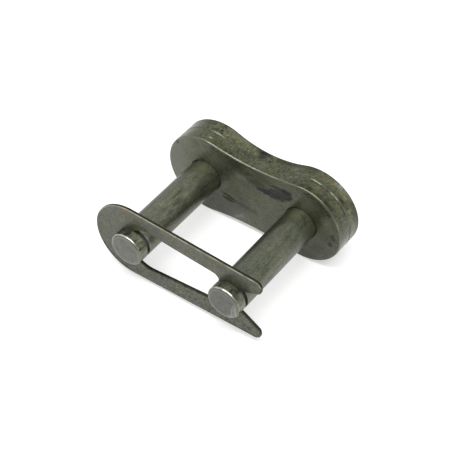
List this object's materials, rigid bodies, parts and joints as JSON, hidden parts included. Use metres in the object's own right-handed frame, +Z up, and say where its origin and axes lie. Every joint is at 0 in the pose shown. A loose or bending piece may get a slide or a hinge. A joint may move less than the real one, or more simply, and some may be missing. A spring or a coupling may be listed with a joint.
{
  "type": "roller chain connecting link",
  "caption": "Connecting link that joins a roller chain's ends: bearing pins riveted into a side plate, a loose side plate that slips over them, and a spring clip that snaps into their grooves.",
  "frame": {"origin": "on the left pin's axis, at the riveted plate's inner face", "axes": "+X along the pitch line to the right pin, -Y along the pins to their free ends, +Z up the height of the plates"},
  "size_m": [0.0344, 0.0275, 0.0154],
  "materials": {
    "riveted_plate": "oiled dark steel, edges mottled brown and green",
    "loose_plate": "oiled dark steel, with dark scuffs",
    "pin": "ground case-hardened steel, streaked with oil",
    "spring_clip": "tempered spring steel, dull grey-brown"
  },
  "bodies": {
    "link": {"riveted_plate": "riveted_plate", "left_pin": "pin", "right_pin": "pin"},
    "loose_plate": {"loose_plate": "loose_plate"},
    "spring_clip": {"spring_clip": "spring_clip"}
  },
  "joints": [
    {"name": "plate_slide", "type": "slide", "parent": "link", "child": "loose_plate", "axis": [0, -1, 0], "range_m": [0, 0.0187]},
    {"name": "clip_slide", "type": "slide", "parent": "link", "child": "spring_clip", "axis": [-1, 0, 0], "range_m": [0, 0.005], "deforming": ["spring_clip"]}
  ]
}
